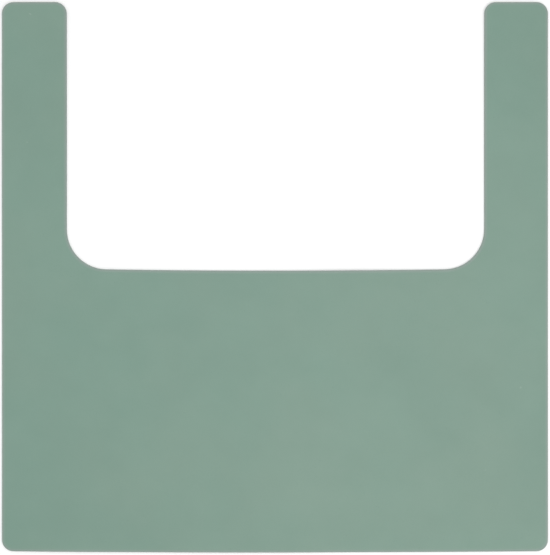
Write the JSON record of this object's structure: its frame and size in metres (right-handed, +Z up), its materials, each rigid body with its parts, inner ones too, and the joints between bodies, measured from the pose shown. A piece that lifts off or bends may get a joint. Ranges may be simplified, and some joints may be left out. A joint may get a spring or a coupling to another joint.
{
  "type": "silicone bib mat",
  "caption": "Flat one-piece silicone bib mat: a square sheet whose wide round-cornered body cut-out leaves an arm on each side, for a high-chair tray or table.",
  "frame": {"origin": "middle of the sheet's bounding box in plan, on its underside", "axes": "+Z up out of the top face of the sheet as it lies flat; +Y from the front edge towards the tips of the two arms; +X across the sheet, to the right seen from above with the arm tips at the top"},
  "size_m": [0.42, 0.4232, 0.002],
  "materials": {
    "silicone": "matte"
  },
  "bodies": {
    "root": {"silicone_sheet": "silicone"}
  },
  "joints": []
}
